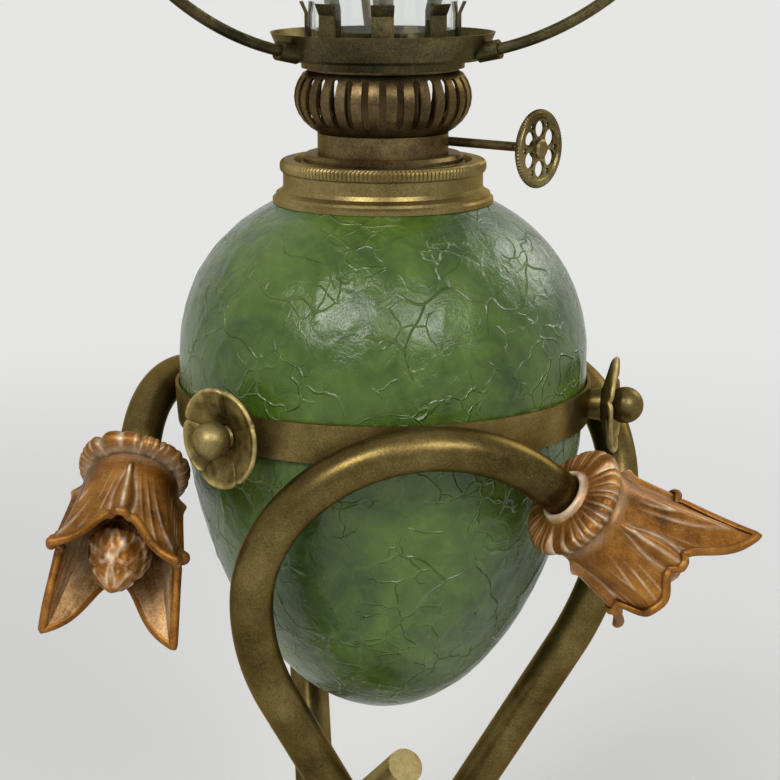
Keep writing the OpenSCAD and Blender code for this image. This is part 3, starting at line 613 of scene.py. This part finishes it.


# Calyxes.
# A cast ruff of pleats, crimped round the stalk's end, closes the back of each flower.
# Its ridges are pale, partly from rubbed wear and partly as a painted highlight, and pale lime has dried in
# its folds.

calyx_d = 8 * MM
calyx_fold = 10 * MM
calyx_pleats = 11
tail_r = 7.35 * MM
calyx_steps = 264
bead_r = 8.5 * MM
fold_start_r = 10.2 * MM
ruff_line = [(7.5, -0.7), (7.9, -1.2), (8.6, -1.3), (9.3, -0.9), (9.7, -0.1), (9.9, 0.7), (10.6, 0.9),
             (12.2, 1.0), (14, 1.3), (15.8, 1.6), (17.4, 2.0), (18.8, 2.5), (19.9, 3.4), (20.5, 4.6),
             (20.4, 5.9), (19.6, 7.0), (18.0, 7.8), (16.0, 8.2), (12, 8.2), (8.5, 8.2)]
flower_brass = cast_brass(
    "flower_brass", (0.075, 0.026, 0.004), (0.20, 0.078, 0.012), (0.34, 0.155, 0.032), (0.66, 0.54, 0.38))

for name, turn in stalk_turns.items():
    bm = bmesh.new()
    bmesh.ops.create_circle(bm, segments=calyx_steps, radius=tail_r + 0.1 * MM)
    lime_wear_and_sheen = bm.verts.layers.float.new("lime_wear_and_sheen")
    ring = bm.edges[:]
    for radius, height in ruff_line:
        ring = widen(bm, ring, radius * MM, height * MM)
    for v in bm.verts:
        radius = v.co.xy.length
        angle = atan2(v.co.y, v.co.x)
        fold = min(1, max(0, (radius - fold_start_r) / calyx_fold))
        uneven = angle + 0.13 * sin(3 * angle) + 0.07 * sin(5 * angle + 1)
        pleat = petal_phase(uneven, calyx_pleats)
        crease = max(0, pleat - 0.66) / 0.34
        pair = exp(-((pleat - 0.38) / 0.09) ** 2)
        front = 1 if v.co.z < 6 * MM else 0.3
        v.co.xy *= 1 - fold * (0.085 * crease ** 2 + 0.02 * pair - 0.02 * sin(4 * angle + 1))
        v.co.z += front * fold * (2.2 * crease ** 2 + 0.55 * pair - 0.5 + 0.6 * sin(3 * angle + 2)) * MM
        # The pale mark on the bead and the rim is partly rubbed wear and partly a painted highlight. Lime
        # lies in the folds.
        bead = max(0, 1 - abs(radius - bead_r) / (1.5 * MM)) ** 0.5
        under = 0.8 * max(0, v.co.z - 7 * MM) / MM * max(0, 1 - abs(radius - 16.5 * MM) / (2.5 * MM))
        v[lime_wear_and_sheen] = min(1, max(bead, 0.85 * crease ** 2 * fold, 0.7 * pair * fold, under))
    bmesh.ops.transform(bm, matrix=placed(*flower_frame, turn), verts=bm.verts)
    settle(bm, "calyx_ruff_" + name, flower_brass, "lamp", ["calyx_" + name])


# Flowers.
# A thin cast bell flares from the calyx into four petals of uneven length with rolled edges and
# pointed tips. A keel with a nub at its head runs down to each notch, and veins fan out beside it.

bell_r = 17 * MM
petal_r = 32.5 * MM
petal_len = 54 * MM
notch_at = 32 * MM
shoulder_d = 4 * MM
flower_wall = 1.3 * MM
bell_petals = 4
petal_rolls = {"front": 15, "right": 17, "left": 11}
petal_lens = {"front": (54, 54, 54, 34), "right": (54, 48, 47, 54), "left": (54, 48, 47, 54)}
notch_half = 0.10
petal_wave = 2.2 * MM
shoulder_tuck = 3.5 * MM
keel_h = 2.3 * MM
nub_h = 1.5 * MM
gutter_d = 0.8 * MM
vein_h = 0.34 * MM
bell_steps = 384
bell_rows = 52
hem_rows = 8
hem_turn = radians(260)
hem_r = 0.36 * MM
flower_inside = cast_brass(
    "flower_inside", (0.10, 0.045, 0.013), (0.28, 0.155, 0.060), (0.52, 0.37, 0.21), (0.72, 0.61, 0.46),
    metallic=0.4)


def swell(value, low, high):
    return sin(pi * min(1, max(0, (value - low) / (high - low))))


for name, turn in stalk_turns.items():
    bm = bmesh.new()
    bmesh.ops.create_circle(bm, segments=bell_steps, radius=bell_r)
    lime_wear_and_sheen = bm.verts.layers.float.new("lime_wear_and_sheen")
    ring = bm.edges[:]
    for row in range(bell_rows + hem_rows):
        ring = widen(bm, ring, bell_r, (row + 1) * MM)
    for face in bm.faces:
        if min(v.co.z for v in face.verts) > (bell_rows - 1.5) * MM:
            face.material_index = 2
    for v in bm.verts:
        angle = atan2(v.co.y, v.co.x)
        turned = angle - radians(petal_rolls[name])
        phase = petal_phase(turned, bell_petals)
        aside = 1 - phase
        point = max(0, aside - notch_half) / (1 - notch_half)
        own_len = petal_lens[name][round(turned * bell_petals / (2 * pi)) % bell_petals] * MM
        wave = petal_wave * sin(2 * pi * point) * (1 - 0.4 * point)
        reach = notch_at + (own_len - notch_at) * point ** 1.2 - wave
        row = v.co.z / MM
        t = min(1, row / bell_rows)
        curl = max(0, row - bell_rows) / hem_rows * hem_turn
        depth = reach * t
        share = max(0, depth - shoulder_d) / (petal_len - shoulder_d)
        square = cos(pi / 4) / cos(pi / 4 * aside)
        radius = bell_r + (petal_r - bell_r) * share ** 1.35
        radius *= 1 + 0.85 * share * (square - 1)
        if depth < shoulder_d:
            radius -= shoulder_tuck * (1 - depth / shoulder_d) ** 2
        down = depth / notch_at
        keel_width = 0.07 + 0.10 * swell(down, 0.32, 1.15)
        started = 1 / (1 + exp(-40 * (down - 0.27)))
        ended = 1 if down < 1 else max(0, 1 - 8 * (down - 1))
        keel = exp(-(aside / keel_width) ** 4) * started * ended
        gutter = exp(-((aside - 1.7 * keel_width) / 0.05) ** 2) * started
        nub = exp(-(aside / 0.075) ** 2 - ((down - 0.30) / 0.07) ** 2)
        fan = cos(2 * pi * (5.5 * phase ** 1.2 + 2.6 * share))
        clump = 0.5 + 0.5 * sin(9 * angle + 5 * share)
        off_keel = min(1, max(0, aside - 0.22) * 8)
        veined = min(1, 3 * max(0, share - 0.08)) * off_keel * (1 - t ** 12) * clump
        radius += keel_h * keel + nub_h * nub - gutter_d * gutter + vein_h * fan * veined
        slope = 0.36 * share ** 0.3
        radius += hem_r * ((1 - cos(curl)) * cos(slope) + sin(curl) * sin(slope))
        v.co.xy = v.co.xy.normalized() * radius
        v.co.z = calyx_d + depth + hem_r * (sin(curl) * cos(slope) - (1 - cos(curl)) * sin(slope))
        # Lime lies in the gutters and at the base. The pale mark on the vein crests and along the keel's
        # crest is partly lime and partly painted highlight.
        ridge = max(0, fan) ** 3 * veined
        base = max(0, 1 - down / 0.2)
        hem = 1 if t < 0.97 else 0.1
        patchiness = 0.75 + 0.6 * noise.noise(v.co / (7 * MM))
        crest = keel * exp(-(aside / 0.035) ** 2)
        v[lime_wear_and_sheen] = hem * min(1, max(0, patchiness * (0.95 * ridge + 0.65 * gutter + 0.5 * base + crest)))
    bmesh.ops.transform(bm, matrix=placed(*flower_frame, turn), verts=bm.verts)
    bell = settle(bm, "flower_bell_" + name, flower_brass, "lamp", ["flower_" + name])
    bell.data.materials.append(flower_inside)
    bell.data.materials.append(flower_brass)
    thick = bell.modifiers.new("cast_wall", "SOLIDIFY")
    thick.thickness = flower_wall
    thick.offset = -1
    thick.material_offset = 1


# Buds.
# A pointed bud of folded leaves hangs in each bell on a short stalk that is pressed into the
# end of the tube.

bud_r = 11.8 * MM
bud_len = 31 * MM
bud_foot = calyx_d + 19 * MM
bud_stem_r = 3.2 * MM
bud_plug_r = 5.7 * MM
bud_rows = 90
bud_steps = 180
bud_tiers = 2.6
bud_wrinkle = 1.9 * MM

for name, turn in stalk_turns.items():
    bm = bmesh.new()
    stalk_line = [(0, calyx_d - 4 * MM), (bud_plug_r, calyx_d - 4 * MM), (bud_plug_r, calyx_d + 6 * MM),
                  (bud_stem_r, calyx_d + 9 * MM), (bud_stem_r, bud_foot)]
    bud_line = [(bud_r * sin(pi * (i / bud_rows) ** 0.9) ** 0.75, bud_foot + bud_len * i / bud_rows)
                for i in range(1, bud_rows)]
    turned_piece(bm, stalk_line + bud_line + [(0, bud_foot + bud_len)], bud_steps)
    lime_wear_and_sheen = bm.verts.layers.float.new("lime_wear_and_sheen")
    for v in bm.verts:
        t = (v.co.z - bud_foot) / bud_len
        if 0.02 < t < 0.97:
            angle = atan2(v.co.y, v.co.x)
            wrinkle = noise.noise(Vector((v.co.x, v.co.y, v.co.z * 0.5)) / bud_wrinkle)
            tier = t * bud_tiers
            phase = petal_phase(angle + 0.5 * t + pi / 3 * (int(tier) % 2), 3)
            edge = tier % 1 - 0.85 * (1 - phase ** 1.4) + 0.05 * wrinkle
            leaf = 1 / (1 + exp(16 * edge))
            keel = max(0, 1 - phase * 4)
            v.co.xy *= 0.88 + 0.09 * leaf * (1 - 0.5 * (tier % 1)) + 0.04 * keel + 0.045 * wrinkle
            # The pale mark along the leaf edges, keels and raised wrinkles is partly lime and partly
            # painted highlight.
            v[lime_wear_and_sheen] = min(1, max(0, 0.5 * exp(-(edge / 0.1) ** 2) + 0.3 * keel + 0.7 * wrinkle))
    bmesh.ops.transform(bm, matrix=placed(*flower_frame, turn), verts=bm.verts)
    settle(bm, "flower_bud_" + name, flower_brass, "lamp", ["bud_" + name])


# Collar and screw ring.
# A spun brass collar is cemented on the glass neck, and the burner screws into it through a
# ring whose upper edge is milled for the fingers.

collar_brass = brass_finish(
    "collar_brass", (0.10, 0.073, 0.026), (0.20, 0.15, 0.056), (0.34, 0.265, 0.11), 0.38, patch=22)
dress(["font_collar", "screw_ring"], collar_brass)


def milled_band(name, frame_matrix, radius, low, high, teeth, bulge, material, body):
    rows = 8
    bm = bmesh.new()
    bmesh.ops.create_circle(bm, segments=teeth * 2, radius=radius)
    ring = bm.edges[:]
    for row in range(rows):
        ring = widen(bm, ring, radius, (row + 1) * MM)
    for tooth, v in enumerate(bm.verts[:]):
        row = v.co.z / MM
        swelling = bulge * sqrt(max(0, 1 - (2 * row / rows - 1) ** 2))
        valley = 0.45 if tooth % 2 else 1
        v.co.xy = v.co.xy.normalized() * (radius + swelling * valley)
        v.co.z = low + (high - low) * row / rows
    bmesh.ops.transform(bm, matrix=frame_matrix, verts=bm.verts)
    piece = settle(bm, name, material, body)
    wall = piece.modifiers.new("rolled_wall", "SOLIDIFY")
    wall.thickness = 0.3 * MM
    wall.offset = -1
    for face in piece.data.polygons:
        face.use_smooth = False
    return piece


ring_low, ring_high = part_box("screw_ring")
ring_r = (ring_high.x - ring_low.x) / 2
collar_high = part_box("font_collar")[1]
milling_sunk = 0.1 * MM
ring_edge = 0.2 * MM
ring_teeth = 150
ring_bulge = 0.9 * MM
milled_band("screw_ring_milling", Matrix.Identity(4), ring_r - milling_sunk, collar_high.z - ring_edge,
            ring_high.z - ring_edge, ring_teeth, ring_bulge, collar_brass, "lamp")


# Burner.
# Pressed sheet brass gone brown: the base with its waist, the slotted air basket, and the
# wick tubes inside it.

burner_brass = brass_finish(
    "burner_brass", (0.030, 0.020, 0.009), (0.085, 0.058, 0.025), (0.20, 0.145, 0.065), 0.36, patch=40)
dress(["burner_base", "outer_wick_tube", "draught_tube", "wick_carrier"], burner_brass)


def smooth_copy(node, name, material, body):
    bm = bmesh.new()
    bm.from_mesh(nodes[node].data)
    bmesh.ops.remove_doubles(bm, verts=bm.verts, dist=1e-6)
    for edge in bm.edges:
        edge.smooth = len(edge.link_faces) == 2 and edge.calc_face_angle() < radians(32)
    return settle(bm, name, material, body, [node])


smooth_copy("burner_basket", "air_basket", burner_brass, "lamp")


# Winder.
# A thin straight brass shaft in a sleeve carries the pinion inside and an openwork wheel with
# a milled rim outside.

winder_brass = brass_finish(
    "winder_brass", (0.055, 0.042, 0.017), (0.14, 0.108, 0.046), (0.30, 0.24, 0.11), 0.34, patch=50)
dress(["winder_shaft", "winder_pinion", "winder_wheel", "winder_sleeve"], winder_brass)
winder_hinge = [j for j in frame["record"]["behaviour"]["joints"] if j["name"] == "winder_turn"][0]
winder_out = -Vector(winder_hinge["axis"])
wheel_low, wheel_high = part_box("winder_wheel")
wheel_r = (wheel_high.z - wheel_low.z) / 2
wheel_middle = (wheel_low + wheel_high) / 2
wheel_frame = placed(wheel_middle, up_dir, winder_out)
wheel_rim = 1 * MM
wheel_teeth = 72
wheel_bulge = 0.7 * MM
milled_band("winder_wheel_milling", wheel_frame, wheel_r - milling_sunk, -wheel_rim, wheel_rim, wheel_teeth,
            wheel_bulge, winder_brass, "winder")


# Gallery and shade holder.
# Dark patinated brass: the spring-fingered gallery that grips the chimney, the cup, and the
# three arms that carry the shade ring.

holder_brass = brass_finish(
    "holder_brass", (0.022, 0.019, 0.009), (0.060, 0.051, 0.023), (0.16, 0.13, 0.055), 0.37, patch=36)
dress(["gallery", "shade_cup", "shade_ring"], holder_brass)
dress(["shade_arm_left", "shade_arm_right", "shade_arm_back"], holder_brass)


# Chimney.
# A clear blown glass tube, drawn in above the flame, stands loose in the gallery.

chimney_glass = bpy.data.materials.new("chimney_glass")
chimney_glass.use_nodes = True
chimney_tree = chimney_glass.node_tree
chimney_shader = chimney_tree.nodes["Principled BSDF"]
chimney_coords = chimney_tree.nodes.new("ShaderNodeTexCoord")
chimney_draw = chimney_tree.nodes.new("ShaderNodeMapping")
chimney_draw.inputs["Scale"].default_value = (1, 1, 0.12)
chimney_streaks = chimney_tree.nodes.new("ShaderNodeTexNoise")
chimney_streaks.inputs["Scale"].default_value = 90
chimney_streaks.inputs["Detail"].default_value = 3
chimney_haze = chimney_tree.nodes.new("ShaderNodeMapRange")
chimney_haze.inputs["From Min"].default_value = 0.35
chimney_haze.inputs["From Max"].default_value = 0.75
chimney_haze.inputs["To Min"].default_value = 0.01
chimney_haze.inputs["To Max"].default_value = 0.06
chimney_tint = chimney_tree.nodes.new("ShaderNodeValToRGB")
chimney_tint.color_ramp.elements[0].color = (0.90, 0.93, 0.91, 1)
chimney_tint.color_ramp.elements[1].color = (0.97, 0.98, 0.97, 1)
chimney_waves = chimney_tree.nodes.new("ShaderNodeBump")
chimney_waves.inputs["Strength"].default_value = 0.12
chimney_waves.inputs["Distance"].default_value = 0.3 * MM
chimney_tree.links.new(chimney_coords.outputs["Object"], chimney_draw.inputs["Vector"])
chimney_tree.links.new(chimney_draw.outputs["Vector"], chimney_streaks.inputs["Vector"])
chimney_tree.links.new(chimney_streaks.outputs["Fac"], chimney_haze.inputs["Value"])
chimney_tree.links.new(chimney_streaks.outputs["Fac"], chimney_tint.inputs["Fac"])
chimney_tree.links.new(chimney_streaks.outputs["Fac"], chimney_waves.inputs["Height"])
chimney_tree.links.new(chimney_tint.outputs["Color"], chimney_shader.inputs["Base Color"])
chimney_tree.links.new(chimney_haze.outputs["Result"], chimney_shader.inputs["Roughness"])
chimney_tree.links.new(chimney_waves.outputs["Normal"], chimney_shader.inputs["Normal"])
chimney_shader.inputs["Transmission Weight"].default_value = 1
chimney_shader.inputs["IOR"].default_value = 1.45
dress(["chimney"], chimney_glass)


# Wick.
# A tube of woven cotton, charred at its upper edge, slides between the burner's two tubes. It
# is slit from end to end where the air box crosses it.

wick_low, wick_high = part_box("wick")
wick_out = 10.8 * MM
wick_in = 9 * MM
slit_turn = atan2(-winder_hinge["pos_m"][1], -winder_hinge["pos_m"][0])
slit_w = 9 * MM
slit_half = asin(slit_w / 2 / wick_in)
thread = 1.1 * MM
wick_len = wick_high.z - wick_low.z
wick_rows = round(wick_len / thread)
wick_columns = 56
wick_wall_t = 1.2 * MM
char_depth = 5 * MM
char_ragged = 3 * MM

wick_cotton = bpy.data.materials.new("wick_cotton")
wick_cotton.use_nodes = True
wick_tree = wick_cotton.node_tree
wick_shader = wick_tree.nodes["Principled BSDF"]
wick_coords = wick_tree.nodes.new("ShaderNodeTexCoord")
wick_axes = wick_tree.nodes.new("ShaderNodeSeparateXYZ")
wick_lint = wick_tree.nodes.new("ShaderNodeTexNoise")
wick_lint.inputs["Scale"].default_value = 700
wick_lint.inputs["Detail"].default_value = 4
wick_ragged = wick_tree.nodes.new("ShaderNodeMath")
wick_ragged.operation = "MULTIPLY_ADD"
wick_ragged.inputs[1].default_value = char_ragged
wick_char = wick_tree.nodes.new("ShaderNodeMapRange")
wick_char.inputs["From Min"].default_value = wick_high.z - char_depth
wick_char.inputs["From Max"].default_value = wick_high.z + 0.5 * MM
wick_colour = wick_tree.nodes.new("ShaderNodeValToRGB")
wick_colour.color_ramp.elements[0].color = (0.66, 0.58, 0.43, 1)
wick_colour.color_ramp.elements[1].position = 0.8
wick_colour.color_ramp.elements[1].color = (0.012, 0.010, 0.008, 1)
wick_fuzz = wick_tree.nodes.new("ShaderNodeBump")
wick_fuzz.inputs["Strength"].default_value = 0.5
wick_fuzz.inputs["Distance"].default_value = 0.2 * MM
wick_tree.links.new(wick_coords.outputs["Object"], wick_axes.inputs["Vector"])
wick_tree.links.new(wick_coords.outputs["Object"], wick_lint.inputs["Vector"])
wick_tree.links.new(wick_lint.outputs["Fac"], wick_ragged.inputs[0])
wick_tree.links.new(wick_axes.outputs["Z"], wick_ragged.inputs[2])
wick_tree.links.new(wick_ragged.outputs[0], wick_char.inputs["Value"])
wick_tree.links.new(wick_char.outputs["Result"], wick_colour.inputs["Fac"])
wick_tree.links.new(wick_colour.outputs["Color"], wick_shader.inputs["Base Color"])
wick_tree.links.new(wick_lint.outputs["Fac"], wick_fuzz.inputs["Height"])
wick_tree.links.new(wick_fuzz.outputs["Normal"], wick_shader.inputs["Normal"])
wick_shader.inputs["Roughness"].default_value = 0.95

bm = bmesh.new()
warp = [bm.verts.new((wick_out - 0.35 * MM, 0, wick_low.z + wick_len * i / wick_rows))
        for i in range(wick_rows + 1)]
warp_edges = [bm.edges.new(pair) for pair in zip(warp, warp[1:])]
bmesh.ops.rotate(bm, verts=bm.verts, cent=(0, 0, 0), matrix=Matrix.Rotation(slit_turn + slit_half, 3, "Z"))
bmesh.ops.spin(bm, geom=warp + warp_edges, cent=(0, 0, 0), axis=(0, 0, 1),
               angle=2 * pi - 2 * slit_half, steps=wick_columns)
for v in bm.verts:
    row = round((v.co.z - wick_low.z) / wick_len * wick_rows)
    column = round((atan2(v.co.y, v.co.x) - slit_turn) / (2 * pi) * wick_columns)
    v.co.xy *= 1 + (0.012 if (row + column) % 2 else -0.008)
wick_tube = settle(bm, "woven_wick", wick_cotton, "wick", ["wick"])
wick_wall = wick_tube.modifiers.new("woven_wall", "SOLIDIFY")
wick_wall.thickness = wick_wall_t
wick_wall.offset = -1
